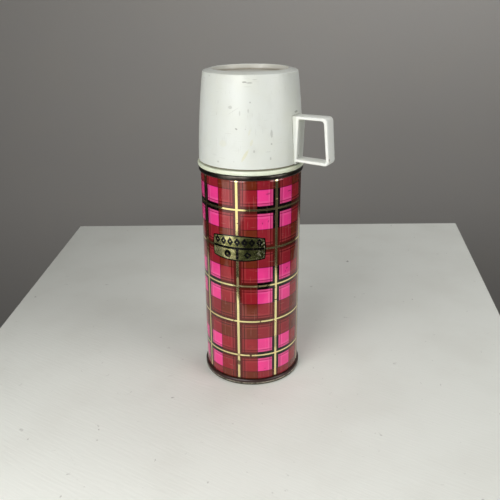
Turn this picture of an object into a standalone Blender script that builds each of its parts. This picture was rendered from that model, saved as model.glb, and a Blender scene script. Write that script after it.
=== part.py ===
"""Half-pint vacuum flask of a school lunch kit: tin body, screw cup with a handle, stopper and glass filler.

The origin is on the flask's axis in the plane it stands on. +Z is up and the handle points along +X.
Lengths are in millimetres up to the point where a mesh is made, and metres in the scene.
"""

from math import cos, pi, radians, sin, tau

import bmesh
import bpy
from mathutils import Matrix, Vector

MM = 0.001

# Gaps and mesh density
GAP = 0.3  # between pieces that touch
SEGMENTS = 36  # round outer pieces
GLASS_SEGMENTS = 28
SMALL_SEGMENTS = 20

# Tin body
CASE_R = 32.2
TIN = 0.5
RIM_R = 33.4
RIM_H = 4.0
RIM_FOOT_R = 31.4  # inner edge of the flat that the flask stands on
PANEL_Z = 3.0  # underside of the base's recessed panel
PANEL_R = 28.2
CASE_TOP = 143.1
SEAM_AZIMUTH = 104.0  # degrees, the lock seam at the back
SEAM_WIDTH = 4.6
SEAM_PROUD = 0.45

# Top ring and collar
RING_BOTTOM = CASE_TOP + GAP
RING_TOP = 146.2
RING_FLANGE_R = 28.0
BAND_R = 33.9
BAND_BOTTOM = RING_TOP + GAP
BAND_TOP = 149.2
NECK_R = 29.3
NECK_WALL = 1.7
NECK_TOP = 156.0
LIP_TOP = 160.0
BORE_R = 16.3
BORE_WALL = 1.8
BORE_BOTTOM = 146.0

# Cup
WASHER_H = 0.4
WASHER_BOTTOM = BAND_TOP + GAP
CUP_BOTTOM = WASHER_BOTTOM + WASHER_H + GAP
CUP_SHOULDER = 203.7
CUP_R = 33.05
CUP_TAPER = (1.4, 2.5)  # millimetres lost by the shoulder, in the first and second power of height
CUP_WALL = 2.0
CUP_THREAD_R = 31.4
FOOT_RING_R = 24.2
CUP_TOP = 205.1
RECESS_R = 23.3
RECESS_Z = 201.7
CEILING_Z = 199.6

# Handle: a square strap loop on the cup's wall
HANDLE_WIDTH = 9.5
HANDLE_TOP = 179.5
HANDLE_BOTTOM = 151.9
HANDLE_DROP = 0.6  # the lower bar falls this much towards its outer corner
HANDLE_REACH_TOP = 53.5
HANDLE_REACH_BOTTOM = 55.8
STRAP = 1.7
LOWER_STRAP = 1.4  # thickness of the lower bar at the cup
STRIP_FACE_TOP = 35.0
STRIP_FACE_BOTTOM = 33.8

# Threads
THREAD_LEAD = 3.6
THREAD_TURNS = 1.25
THREAD_WIDTH = 1.7
THREAD_SINK = 0.7  # how deep a ridge is rooted in its wall
COLLAR_CREST_R = 30.3
COLLAR_THREAD_Z = 151.0
CUP_CREST_R = 30.7
CUP_THREAD_Z = 152.0

# Stopper, whose head sits on the collar's lip
PLUG_R = 14.2
PLUG_THREAD_R = 14.6
PLUG_CREST_R = 15.3
PLUG_THREAD_Z = 150.8
BORE_CREST_R = 15.6
BORE_THREAD_Z = 149.0
PLUG_BOTTOM = 135.0
PLUG_WALL = 1.8
GASKET_H = 1.0
HEAD_R = 20.0
HEAD_FLANGE_H = 1.6
GASKET_BOTTOM = LIP_TOP + GAP
HEAD_BOTTOM = GASKET_BOTTOM + GASKET_H + GAP
LID_BOTTOM = HEAD_BOTTOM + HEAD_FLANGE_H + GAP
LID_H = 3.0
LID_FLUTES = 12
FLUTE_DEPTH = 0.6

# Glass filler
GLASS = 1.2
INNER_R = 26.0
OUTER_R = 29.3
INNER_NECK_R = 16.5
OUTER_NECK_R = 19.3
DOME_Z = 30.0  # level where both domed ends meet their straight walls
INNER_DOME_H = 16.0
OUTER_DOME_H = 20.0
GLASS_TOP = 143.7
FUSED_LIP_H = 1.0
TIP_R = 1.6
TIP_BOTTOM = 7.0

# Packing round the glass
PAD_H = 1.2
PAD_BOTTOM = RIM_H - 0.2 + GAP
CUSHION_BOTTOM = PAD_BOTTOM + PAD_H + GAP


def clear_scene():
    for obj in list(bpy.data.objects):
        bpy.data.objects.remove(obj)


def material(name, color, roughness, metallic=0.0, alpha=1.0):
    made = bpy.data.materials.new(name)
    made.use_nodes = True
    shader = made.node_tree.nodes["Principled BSDF"]
    shader.inputs["Base Color"].default_value = (*color, 1.0)
    shader.inputs["Roughness"].default_value = roughness
    shader.inputs["Metallic"].default_value = metallic
    shader.inputs["Alpha"].default_value = alpha
    made.diffuse_color = (*color, alpha)
    return made


def finish_mesh(name, bm, finish=None, smooth=True):
    """Scale to metres, turn the faces outward and link the object."""
    bmesh.ops.remove_doubles(bm, verts=bm.verts, dist=1e-4)
    bmesh.ops.recalc_face_normals(bm, faces=bm.faces)
    bm.transform(Matrix.Scale(MM, 4))
    mesh = bpy.data.meshes.new(name)
    bm.to_mesh(mesh)
    bm.free()
    if smooth:
        mesh.shade_smooth()
        mesh.set_sharp_from_angle(angle=radians(35))
    obj = bpy.data.objects.new(name, mesh)
    bpy.context.collection.objects.link(obj)
    if finish:
        mesh.materials.append(finish)
    return obj


def lathe(name, profile, finish, segments=SEGMENTS, closed=True):
    """Spin a profile of (radius, height) points about Z. An open profile starts and ends on the axis."""
    bm = bmesh.new()
    verts = [bm.verts.new((r, 0, z)) for r, z in profile]
    pairs = list(zip(verts, verts[1:]))
    if closed:
        pairs.append((verts[-1], verts[0]))
    edges = [bm.edges.new(pair) for pair in pairs]
    bmesh.ops.spin(
        bm, geom=verts + edges, cent=(0, 0, 0), axis=(0, 0, 1), angle=tau, steps=segments, use_merge=True
    )
    return finish_mesh(name, bm, finish)


def ring(name, inner, outer, bottom, top, finish, segments=SEGMENTS):
    profile = [(outer, top), (outer, bottom), (inner, bottom), (inner, top)]
    return lathe(name, profile, finish, segments)


def extrude_outline(name, outline, depth, finish=None):
    """A flat outline of (x, z) points made into a solid that is centred on the XZ plane."""
    bm = bmesh.new()
    face = bm.faces.new([bm.verts.new((x, -depth / 2, z)) for x, z in outline])
    grown = bmesh.ops.extrude_face_region(bm, geom=[face])
    moved = [item for item in grown["geom"] if isinstance(item, bmesh.types.BMVert)]
    bmesh.ops.translate(bm, verts=moved, vec=(0, depth, 0))
    return finish_mesh(name, bm, finish)


def rounded(corners, steps=3):
    """Round each (x, z, radius) corner of a loop with an arc, drawn between the points where it meets the sides."""
    points = []
    for index, (x, z, radius) in enumerate(corners):
        here = Vector((x, z))
        before = Vector(corners[index - 1][:2]) - here
        after = Vector(corners[(index + 1) % len(corners)][:2]) - here
        if not radius:
            points.append((x, z))
            continue
        start = here + before.normalized() * radius
        end = here + after.normalized() * radius
        for step in range(steps + 1):
            t = step / steps
            at = start * (1 - t) ** 2 + here * 2 * t * (1 - t) + end * t * t
            points.append((at.x, at.y))
    return points


def helper(obj):
    """A solid that only shapes another one."""
    obj.hide_render = True
    obj.display_type = "WIRE"
    return obj


def boolean(obj, other, operation):
    cut = obj.modifiers.new(operation.lower(), "BOOLEAN")
    cut.operation = operation
    cut.solver = "EXACT"
    cut.object = helper(other)


def helical_ridge(name, embedded, crest, bottom, start=0.0):
    """One thread ridge: a trapezoid swept up a helix, sunk into its wall and running out flat at both ends."""
    steps = round(THREAD_TURNS * SEGMENTS)
    root_r = embedded + (crest - embedded) * 0.45
    bm = bmesh.new()
    rings = []
    for step in range(steps + 1):
        angle = start + step * tau / SEGMENTS
        z = bottom + THREAD_LEAD * step / SEGMENTS
        reach = min(1.0, min(step, steps - step) / 3)
        crest_r = root_r + (crest - root_r) * reach
        section = [
            (embedded, z - THREAD_WIDTH / 2),
            (embedded, z + THREAD_WIDTH / 2),
            (crest_r, z + THREAD_WIDTH / 4),
            (crest_r, z - THREAD_WIDTH / 4),
        ]
        rings.append([bm.verts.new((r * cos(angle), r * sin(angle), h)) for r, h in section])
    for low, high in zip(rings, rings[1:]):
        for i in range(4):
            bm.faces.new((low[i], low[(i + 1) % 4], high[(i + 1) % 4], high[i]))
    bm.faces.new(rings[0])
    bm.faces.new(rings[-1])
    return finish_mesh(name, bm)


def dome(radius, height, level, steps=6):
    """Points of a domed end, from its pole on the axis out to its widest ring."""
    angles = [step * pi / 2 / steps for step in range(steps + 1)]
    return [(radius * sin(a), level - height * cos(a)) for a in angles]


def shoulder(wide, narrow, bottom, top, steps=6):
    """Points of a smooth S from the body's radius up to the neck's."""
    points = []
    for step in range(steps + 1):
        t = step / steps
        points.append((narrow + (wide - narrow) * (1 + cos(pi * t)) / 2, bottom + (top - bottom) * t))
    return points


def case_tube(tin):
    bottom = RIM_H + GAP
    tube = ring("case_tube", CASE_R - TIN, CASE_R, bottom, CASE_TOP, tin)
    strip = [
        (CASE_R - 0.25, bottom),
        (CASE_R + SEAM_PROUD, bottom),
        (CASE_R + SEAM_PROUD, CASE_TOP),
        (CASE_R - 0.25, CASE_TOP),
    ]
    seam = extrude_outline("seam_strip", strip, SEAM_WIDTH)
    seam.rotation_euler.z = radians(SEAM_AZIMUTH)
    boolean(tube, seam, "UNION")
    return tube


def base_cap(metal):
    profile = [
        (0, PANEL_Z + 0.8),
        (PANEL_R, PANEL_Z + 0.8),
        (PANEL_R + 1.4, RIM_H),
        (RIM_R - 0.5, RIM_H),
        (RIM_R, RIM_H - 0.7),
        (RIM_R, 0.7),
        (RIM_R - 0.5, 0),
        (RIM_FOOT_R, 0),
        (RIM_FOOT_R - 0.6, 0.6),
        (PANEL_R, PANEL_Z),
        (0, PANEL_Z),
    ]
    return lathe("base_cap", profile, metal, closed=False)


def top_ring(metal):
    bead_mid = (RING_BOTTOM + RING_TOP) / 2
    bead_foot = CASE_R - 0.4
    profile = [
        (bead_foot, RING_TOP),
        (RIM_R - 0.4, RING_TOP),
        (RIM_R, bead_mid + 0.7),
        (RIM_R, bead_mid - 0.7),
        (RIM_R - 0.4, RING_BOTTOM),
        (RING_FLANGE_R, RING_BOTTOM),
        (RING_FLANGE_R, RING_BOTTOM + 0.8),
        (bead_foot, RING_BOTTOM + 0.8),
    ]
    return lathe("top_ring", profile, metal)


def neck_collar(plastic):
    """Band, screw neck for the cup, dished top, pouring lip and the bore that takes the stopper."""
    skirt_r = CASE_R - 0.8
    skirt_bottom = RING_BOTTOM + 0.8 + GAP
    inside_r = NECK_R - NECK_WALL
    tube_r = BORE_R + BORE_WALL
    profile = [
        (BORE_R + 0.5, LIP_TOP),
        (tube_r + 0.3, LIP_TOP),
        (tube_r + 0.9, LIP_TOP - 1.0),
        (tube_r + 1.2, NECK_TOP + 1.4),
        (NECK_R - 2.6, NECK_TOP + 1.4),
        (NECK_R - 0.8, NECK_TOP + 0.9),
        (NECK_R, NECK_TOP),
        (NECK_R, BAND_TOP),
        (BAND_R - 0.4, BAND_TOP),
        (BAND_R, BAND_TOP - 0.6),
        (BAND_R - 0.1, BAND_BOTTOM + 0.7),
        (BAND_R - 0.6, BAND_BOTTOM),
        (skirt_r, BAND_BOTTOM),
        (skirt_r, skirt_bottom),
        (inside_r, skirt_bottom),
        (inside_r, NECK_TOP - 0.8),
        (tube_r, NECK_TOP - 0.8),
        (tube_r, BORE_BOTTOM),
        (BORE_R, BORE_BOTTOM),
        (BORE_R, LIP_TOP - 0.5),
    ]
    collar = lathe("neck_collar", profile, plastic)
    neck_thread = helical_ridge("neck_thread", NECK_R - THREAD_SINK, COLLAR_CREST_R, COLLAR_THREAD_Z)
    boolean(collar, neck_thread, "UNION")
    bore_thread = helical_ridge("bore_thread", BORE_R + THREAD_SINK, BORE_CREST_R, BORE_THREAD_Z, radians(80))
    boolean(collar, bore_thread, "UNION")
    return collar


def cup_radius(z):
    """Outer radius of the cup's wall, which tapers faster towards its top."""
    t = (z - CUP_BOTTOM) / (CUP_SHOULDER - CUP_BOTTOM)
    return CUP_R - CUP_TAPER[0] * t - CUP_TAPER[1] * t * t


def cup_shell(plastic):
    top_edge_r = cup_radius(CUP_SHOULDER)
    outside = [
        (0, RECESS_Z),
        (RECESS_R - 0.5, RECESS_Z),
        (RECESS_R, RECESS_Z + 0.5),
        (RECESS_R + 0.2, CUP_TOP - 0.2),
        (RECESS_R + 0.4, CUP_TOP),
        (FOOT_RING_R, CUP_TOP - 0.05),
        (top_edge_r - 0.7, CUP_SHOULDER + 0.3),
        (top_edge_r - 0.1, CUP_SHOULDER - 0.4),
    ]
    outside += [(cup_radius(z), z) for z in (197, 189, 180, 170, 160)]
    outside.append((CUP_R, CUP_BOTTOM))
    inside = [
        (CUP_THREAD_R, CUP_BOTTOM),
        (CUP_THREAD_R - 0.1, 158.5),
        (cup_radius(161) - CUP_WALL, 161),
    ]
    inside += [(cup_radius(z) - CUP_WALL, z) for z in (172, 182, 191, 198)]
    inside += [
        (top_edge_r - CUP_WALL - 0.4, 200.6),
        (top_edge_r - CUP_WALL - 1.0, 201.2),
        (RECESS_R + 1.9, 201.2),
        (RECESS_R + 1.7, CEILING_Z),
        (0, CEILING_Z),
    ]
    return lathe("cup", outside + inside, plastic, closed=False)


def cup_handle():
    """The strap loop with its wedge-shaped base strip, which runs down to the cup's lip."""
    lip_root = CUP_R - 1.05
    top_root = cup_radius(HANDLE_TOP) - 1.1
    outline = rounded(
        [
            (top_root, HANDLE_TOP - 0.3, 0),
            (HANDLE_REACH_TOP, HANDLE_TOP, 2.6),
            (HANDLE_REACH_BOTTOM, HANDLE_BOTTOM - HANDLE_DROP, 2.6),
            (STRIP_FACE_BOTTOM, HANDLE_BOTTOM, 0),
            (STRIP_FACE_BOTTOM - 0.1, CUP_BOTTOM, 0),
            (lip_root, CUP_BOTTOM, 0),
        ]
    )
    loop = extrude_outline("handle_loop", outline, HANDLE_WIDTH)
    opening = rounded(
        [
            (STRIP_FACE_TOP, HANDLE_TOP - STRAP, 0.8),
            (HANDLE_REACH_TOP - STRAP, HANDLE_TOP - STRAP, 1.3),
            (HANDLE_REACH_BOTTOM - STRAP, HANDLE_BOTTOM - HANDLE_DROP + STRAP, 1.0),
            (STRIP_FACE_BOTTOM, HANDLE_BOTTOM + LOWER_STRAP, 0.5),
        ]
    )
    boolean(loop, extrude_outline("handle_opening", opening, HANDLE_WIDTH + 4), "DIFFERENCE")
    return loop


def cup(plastic):
    shell = cup_shell(plastic)
    boolean(shell, cup_handle(), "UNION")
    cup_thread = helical_ridge("cup_thread", CUP_THREAD_R + THREAD_SINK, CUP_CREST_R, CUP_THREAD_Z, pi)
    boolean(shell, cup_thread, "UNION")
    return shell


def stopper_plug(plastic):
    head_top = HEAD_BOTTOM + HEAD_FLANGE_H
    profile = [
        (0, PLUG_BOTTOM),
        (PLUG_R - 1.2, PLUG_BOTTOM),
        (PLUG_R, PLUG_BOTTOM + 1.2),
        (PLUG_R, 147.0),
        (PLUG_THREAD_R, 147.6),
        (PLUG_THREAD_R, HEAD_BOTTOM),
        (HEAD_R - 0.6, HEAD_BOTTOM),
        (HEAD_R - 0.2, head_top),
        (PLUG_R - PLUG_WALL, head_top),
        (PLUG_R - PLUG_WALL, PLUG_BOTTOM + 2.0),
        (0, PLUG_BOTTOM + 2.0),
    ]
    plug = lathe("stopper_plug", profile, plastic, closed=False)
    plug_thread = helical_ridge("plug_thread", PLUG_THREAD_R - THREAD_SINK, PLUG_CREST_R, PLUG_THREAD_Z)
    boolean(plug, plug_thread, "UNION")
    return plug


def stopper_lid(plastic):
    """Grip disc with a fluted edge and a domed top."""
    top = LID_BOTTOM + LID_H
    count = LID_FLUTES * 4
    levels = [(0.0, LID_BOTTOM), (0.0, top - 0.9), (-0.8, top - 0.2), (-5.0, top)]
    bm = bmesh.new()
    rings = []
    for inset, z in levels:
        loop = []
        for i in range(count):
            angle = i * tau / count
            flute = FLUTE_DEPTH * (0, 0, 1, 1)[i % 4] if inset > -2 else 0
            r = HEAD_R + inset - flute
            loop.append(bm.verts.new((r * cos(angle), r * sin(angle), z)))
        rings.append(loop)
    for low, high in zip(rings, rings[1:]):
        for i in range(count):
            bm.faces.new((low[i], low[(i + 1) % count], high[(i + 1) % count], high[i]))
    bm.faces.new(rings[0])
    bm.faces.new(rings[-1])
    return finish_mesh("stopper_lid", bm, plastic)


def stopper_core(foam):
    top = LID_BOTTOM - 2 * GAP
    radius = PLUG_R - PLUG_WALL - 0.4
    bottom = PLUG_BOTTOM + 2.0 + GAP
    profile = [(0, top), (radius, top), (radius, bottom), (0, bottom)]
    return lathe("stopper_core", profile, foam, SMALL_SEGMENTS, closed=False)


def glass_inner(glass):
    neck_r = INNER_NECK_R
    outside = dome(INNER_R, INNER_DOME_H, DOME_Z)
    outside += shoulder(INNER_R, neck_r, 115, 129)
    outside += [
        (neck_r, GLASS_TOP - FUSED_LIP_H),
        (OUTER_NECK_R - 0.3, GLASS_TOP - FUSED_LIP_H),
        (OUTER_NECK_R, GLASS_TOP - FUSED_LIP_H / 2),
        (OUTER_NECK_R - 0.3, GLASS_TOP),
        (neck_r - GLASS, GLASS_TOP),
    ]
    inside = shoulder(INNER_R - GLASS, neck_r - GLASS, 115, 128)[::-1]
    inside += dome(INNER_R - GLASS, INNER_DOME_H - GLASS, DOME_Z)[::-1]
    return lathe("glass_inner", outside + inside, glass, GLASS_SEGMENTS, closed=False)


def glass_outer(glass):
    """Outer wall of the filler, with the sealed tip under its domed end."""
    pole = DOME_Z - OUTER_DOME_H
    outside = [(0, TIP_BOTTOM), (TIP_R * 0.6, TIP_BOTTOM + 0.4), (TIP_R, pole - 0.4)]
    outside += dome(OUTER_R, OUTER_DOME_H, DOME_Z)[1:]
    outside += shoulder(OUTER_R, OUTER_NECK_R, 117, 132)
    rim = GLASS_TOP - FUSED_LIP_H - GAP
    outside += [(OUTER_NECK_R, rim), (OUTER_NECK_R - GLASS, rim)]
    inside = shoulder(OUTER_R - GLASS, OUTER_NECK_R - GLASS, 117, 131)[::-1]
    inside += dome(OUTER_R - GLASS, OUTER_DOME_H - GLASS, DOME_Z)[::-1]
    return lathe("glass_outer", outside + inside, glass, GLASS_SEGMENTS, closed=False)


def spacer_pads(mineral, count=3):
    """Small discs between the two glass walls, evenly spaced."""
    thick = 1.2
    middle = (INNER_R + OUTER_R - GLASS) / 2 - 0.05
    for index in range(count):
        bm = bmesh.new()
        turn = Matrix.Rotation(index * tau / count + radians(30), 4, "Z")
        place = turn @ Matrix.Translation((middle, 0, 38)) @ Matrix.Rotation(pi / 2, 4, "Y")
        bmesh.ops.create_cone(
            bm, cap_ends=True, segments=16, radius1=3.2, radius2=3.2, depth=thick, matrix=place
        )
        finish_mesh(f"spacer_pad_{index + 1}", bm, mineral)


def tip_protector(rubber):
    profile = [
        (0, CUSHION_BOTTOM),
        (4.4, CUSHION_BOTTOM),
        (4.4, 9.3),
        (2.6, 9.3),
        (2.6, TIP_BOTTOM - GAP),
        (0, TIP_BOTTOM - GAP),
    ]
    return lathe("tip_protector", profile, rubber, SMALL_SEGMENTS, closed=False)


def base_cushion(rubber):
    """Rubber ring whose dished top carries the domed end of the glass."""
    profile = [
        (17.0, CUSHION_BOTTOM),
        (17.0, 12.9),
        (22.0, 15.9),
        (26.0, 19.9),
        (30.8, 19.9),
        (30.8, CUSHION_BOTTOM),
    ]
    return lathe("base_cushion", profile, rubber, GLASS_SEGMENTS)


def base_pad(card):
    top = PAD_BOTTOM + PAD_H
    profile = [(0, top), (30.8, top), (30.8, PAD_BOTTOM), (0, PAD_BOTTOM)]
    return lathe("base_pad", profile, card, GLASS_SEGMENTS, closed=False)


def axis_empty(name):
    """Parent of what moves together, on the flask's axis."""
    empty = bpy.data.objects.new(name, None)
    bpy.context.collection.objects.link(empty)
    return empty


def build():
    clear_scene()
    tin = material("printed_tin", (0.42, 0.04, 0.09), 0.22, 0.6)
    gunmetal = material("dark_metal", (0.12, 0.12, 0.12), 0.35, 0.9)
    steel = material("tinplate", (0.45, 0.44, 0.42), 0.35, 0.9)
    ivory = material("ivory_plastic", (0.80, 0.80, 0.66), 0.4)
    white = material("white_plastic", (0.78, 0.80, 0.76), 0.4)
    stopper_red = material("stopper_plastic", (0.45, 0.05, 0.05), 0.4)
    rubber = material("rubber", (0.25, 0.17, 0.12), 0.8)
    silvered = material("silvered_glass", (0.80, 0.80, 0.82), 0.08, 0.9)
    mineral = material("mineral_pad", (0.55, 0.50, 0.44), 0.9)
    felt = material("felt", (0.36, 0.33, 0.30), 0.95)
    card = material("card", (0.50, 0.38, 0.24), 0.9)
    foam = material("foam", (0.80, 0.76, 0.62), 0.9)

    case_tube(tin)
    base_cap(steel)
    top_ring(gunmetal)
    neck_collar(ivory)
    ring("neck_gasket", 15.6, 20.2, GLASS_TOP + GAP, BORE_BOTTOM - GAP, rubber, GLASS_SEGMENTS)
    glass_inner(silvered)
    glass_outer(silvered)
    spacer_pads(mineral)
    tip_protector(rubber)
    base_cushion(rubber)
    base_pad(card)
    ring("shoulder_cushion", 29.8, 31.2, 99, 111, felt)

    washer = ring("cup_washer", 30.7, 32.7, WASHER_BOTTOM, WASHER_BOTTOM + WASHER_H, rubber)
    lifted_cup = axis_empty("cup_axis")
    for piece in (washer, cup(white)):
        piece.parent = lifted_cup

    gasket_top = GASKET_BOTTOM + GASKET_H
    gasket = ring("stopper_gasket", 15.7, 19.0, GASKET_BOTTOM, gasket_top, rubber, GLASS_SEGMENTS)
    lifted_stopper = axis_empty("stopper_axis")
    for piece in (gasket, stopper_plug(stopper_red), stopper_lid(stopper_red), stopper_core(foam)):
        piece.parent = lifted_stopper


build()
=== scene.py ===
"""Looks of a half-pint vacuum flask: tartan tin, white screw cup with a handle, stopper and glass.

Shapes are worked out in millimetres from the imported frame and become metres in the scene. The flask
stands at the origin with its handle along +X. The room (camera, lights, floor) is laid out with the
camera looking along +Y and is then turned about the flask by VIEW_TURN.
"""

from math import cos, pi, radians, sin, tan, tau

import bmesh
import bpy
from mathutils import Matrix, Vector, noise


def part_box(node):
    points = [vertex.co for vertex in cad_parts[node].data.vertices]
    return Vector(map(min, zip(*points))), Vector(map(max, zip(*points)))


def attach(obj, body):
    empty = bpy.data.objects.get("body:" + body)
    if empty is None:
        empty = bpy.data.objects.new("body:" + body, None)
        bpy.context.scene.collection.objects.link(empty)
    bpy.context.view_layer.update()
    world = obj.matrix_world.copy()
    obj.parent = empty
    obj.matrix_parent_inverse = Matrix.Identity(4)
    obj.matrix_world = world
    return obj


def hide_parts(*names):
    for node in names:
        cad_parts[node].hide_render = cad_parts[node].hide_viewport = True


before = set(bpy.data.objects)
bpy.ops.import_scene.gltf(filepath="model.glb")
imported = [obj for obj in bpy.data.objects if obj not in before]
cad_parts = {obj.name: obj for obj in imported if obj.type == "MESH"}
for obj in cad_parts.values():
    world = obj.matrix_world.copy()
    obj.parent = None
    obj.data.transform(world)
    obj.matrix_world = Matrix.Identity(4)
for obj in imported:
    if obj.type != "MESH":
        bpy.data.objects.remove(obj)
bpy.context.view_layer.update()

MM = 0.001
ROUND = 144  # segments of the round outer pieces
ARC_STEPS = 6  # points along a rounded corner
COARSE_ARC = 4  # the same on hidden and small pieces
SHARP_ANGLE = 38  # degrees, above which an edge isn't smoothed
BEVEL_STEPS = 3
GAP = 0.3  # between pieces that touch

# Camera, as (right, back, up) distances in millimetres and angles in degrees
VIEW_TURN = 30.4
CAMERA_BACK = 379.0
CAMERA_HEIGHT = 241.3
CAMERA_PITCH = 22.29
CAMERA_YAW = -0.157
CAMERA_ROLL = -0.485
LENS = 43.47

# Tartan sett on the tin
SETT_REPEATS = 4  # round the tin
SETT_HEIGHT = 51.05
PLAIN_AZIMUTH = -75.8
BORDERED_LEVEL = 22.8
BADGE_LEVEL = 99.6
GOLD_HALF_UPRIGHT = 0.76  # half width of the gold lines up the tin, and round it
GOLD_HALF_LEVEL = 0.52

# Threads, as on the CAD parts
THREAD_LEAD = 3.6
THREAD_TURNS = 1.25
THREAD_WIDTH = 1.7
THREAD_STEP = 0.2  # rows of points on a threaded wall
THREAD_FADE = 12  # how fast a ridge runs out at its ends
COLLAR_RIDGE = 1.0  # depth of a ridge
CUP_RIDGE = STOPPER_RIDGE = 0.7
COLLAR_THREAD_Z = 151.0  # where a thread starts
CUP_THREAD_Z = 152.0
BORE_THREAD_Z = 149.0
PLUG_THREAD_Z = 150.8
BORE_THREAD_START = radians(80)


def size(node):
    """Outer radius, bottom and top of a CAD node. Its handle, if any, points along +X."""
    low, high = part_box(node)
    return -low.x / MM, low.z / MM, high.z / MM


CASE_R, CASE_BOTTOM, CASE_TOP = size("case_tube")
RIM_R, _, RIM_TOP = size("base_cap")
BEAD_R, BEAD_BOTTOM, BEAD_TOP = size("top_ring")
BAND_R, SKIRT_BOTTOM, LIP_TOP = size("neck_collar")
WASHER_BOTTOM = size("cup_washer")[1]
CUP_R, CUP_BOTTOM, CUP_TOP = size("cup")
PLUG_HEAD_R, PLUG_BOTTOM, PLUG_TOP = size("stopper_plug")
LID_R, LID_BOTTOM, LID_TOP = size("stopper_lid")
GASKET_TOP = size("stopper_gasket")[2]
INNER_R, INNER_BOTTOM, INNER_TOP = size("glass_inner")
OUTER_R, OUTER_BOTTOM, OUTER_TOP = size("glass_outer")
CUP_SHOULDER = CUP_TOP - 1.4
FOOT_RING_R = 24.2
RECESS_R = 23.3  # sunk middle of the cup's top
RECESS_Z = CUP_TOP - 3.4
HANDLE_X = 33.4  # the handle starts beyond this


# ---- shapes


def rounded(corners, closed=True, steps=ARC_STEPS):
    """Outline points from (x, y, radius) corners, each rounded by an arc of that radius."""
    points = []
    last = len(corners) - 1
    for index, (x, y, radius) in enumerate(corners):
        here = Vector((x, y))
        if not radius or (not closed and index in (0, last)):
            points.append((x, y))
            continue
        before = Vector(corners[index - 1][:2]) - here
        after = Vector(corners[(index + 1) % len(corners)][:2]) - here
        half = before.angle(after) / 2
        reach = min(radius / tan(half), before.length * 0.49, after.length * 0.49)
        inward = (before.normalized() + after.normalized()).normalized()
        center = here + inward * (reach / cos(half))
        start = here + before.normalized() * reach - center
        end = here + after.normalized() * reach - center
        sweep = start.angle(end)
        for step in range(steps + 1):
            t = step / steps
            at = center + (start * sin((1 - t) * sweep) + end * sin(t * sweep)) / sin(sweep)
            points.append((at.x, at.y))
    return points


def densified(points, low, high):
    """The same outline with extra points for a thread, where its height is between low and high."""
    made = []
    for (r0, z0), (r1, z1) in zip(points, points[1:] + points[:1]):
        made.append((r0, z0))
        inside = min(z0, z1) >= low - 1e-6 and max(z0, z1) <= high + 1e-6
        count = int(abs(z1 - z0) / THREAD_STEP) if inside else 0
        made += [(r0 + (r1 - r0) * i / count, z0 + (z1 - z0) * i / count) for i in range(1, count)]
    return made


def shade(mesh):
    mesh.shade_smooth()
    mesh.set_sharp_from_angle(angle=radians(SHARP_ANGLE))


def new_object(name, bm, finishes):
    """A closed piece in metres from a bmesh in millimetres."""
    bmesh.ops.remove_doubles(bm, verts=bm.verts, dist=1e-4)
    bmesh.ops.recalc_face_normals(bm, faces=bm.faces)
    bm.transform(Matrix.Scale(MM, 4))
    mesh = bpy.data.meshes.new(name)
    bm.to_mesh(mesh)
    bm.free()
    shade(mesh)
    for finish in finishes:
        mesh.materials.append(finish)
    obj = bpy.data.objects.new(name, mesh)
    bpy.context.scene.collection.objects.link(obj)
    return obj


def lathe(name, outline, finishes, closed=True, angles=None, shape=None, pick=None):
    """Spin an outline of (radius, height) points about Z.

    An open outline starts and ends on the axis. shape(radius, height, angle, index) gives the
    radius and height of each point, and pick(index) the material index of the faces after it.
    """
    angles = angles or [i * tau / ROUND for i in range(ROUND)]
    bm = bmesh.new()
    rings = []
    for index, (r, z) in enumerate(outline):
        if r < 1e-6:
            rings.append([bm.verts.new((0, 0, z))] * len(angles))
            continue
        loop = []
        for angle in angles:
            at_r, at_z = shape(r, z, angle, index) if shape else (r, z)
            loop.append(bm.verts.new((at_r * cos(angle), at_r * sin(angle), at_z)))
        rings.append(loop)
    pairs = list(zip(rings, rings[1:]))
    if closed:
        pairs.append((rings[-1], rings[0]))
    for index, (one, two) in enumerate(pairs):
        for i in range(len(angles)):
            j = (i + 1) % len(angles)
            corners = []
            for vert in (one[i], one[j], two[j], two[i]):
                if vert not in corners:
                    corners.append(vert)
            face = bm.faces.new(corners)
            face.material_index = pick(index) if pick else 0
    return new_object(name, bm, finishes)


def bevel(bm, edges, width):
    bmesh.ops.bevel(bm, geom=edges, offset=width, segments=BEVEL_STEPS, profile=0.5, affect="EDGES")


def raise_faces(bm, faces, offset):
    """Turn flat faces into a slab that reaches this far from them."""
    grown = bmesh.ops.extrude_face_region(bm, geom=faces)
    moved = [item for item in grown["geom"] if isinstance(item, bmesh.types.BMVert)]
    bmesh.ops.translate(bm, verts=moved, vec=offset)


def plate(name, outlines, width, edge, finishes):
    """A plate across the XZ plane, from its outer outline and its holes, with rounded edges."""
    bm = bmesh.new()
    edges = []
    for outline in outlines:
        verts = [bm.verts.new((x, -width / 2, z)) for x, z in outline]
        edges += [bm.edges.new(pair) for pair in zip(verts, verts[1:] + verts[:1])]
    bmesh.ops.triangle_fill(bm, use_beauty=True, edges=edges)
    raise_faces(bm, bm.faces[:], (0, width, 0))
    bmesh.ops.recalc_face_normals(bm, faces=bm.faces)
    level = [e for e in bm.edges if abs(e.verts[0].co.y - e.verts[1].co.y) < 1e-6]
    rim = [e for e in level if e.calc_face_angle(0) > 1]
    bevel(bm, rim, edge)
    return new_object(name, bm, finishes)


def united(obj, other):
    """obj joined with another solid into one closed body."""
    join = obj.modifiers.new("join", "BOOLEAN")
    join.operation = "UNION"
    join.solver = "EXACT"
    join.object = other
    bpy.context.view_layer.update()
    joined = obj.evaluated_get(bpy.context.evaluated_depsgraph_get())
    made = bpy.data.meshes.new_from_object(joined)
    obj.modifiers.clear()
    obj.data = made
    bpy.data.objects.remove(other)
    shade(made)
    return obj


def smooth(value):
    """0 below 0, 1 above 1 and smooth between them."""
    value = min(1.0, max(0.0, value))
    return value * value * (3 - 2 * value)


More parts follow.
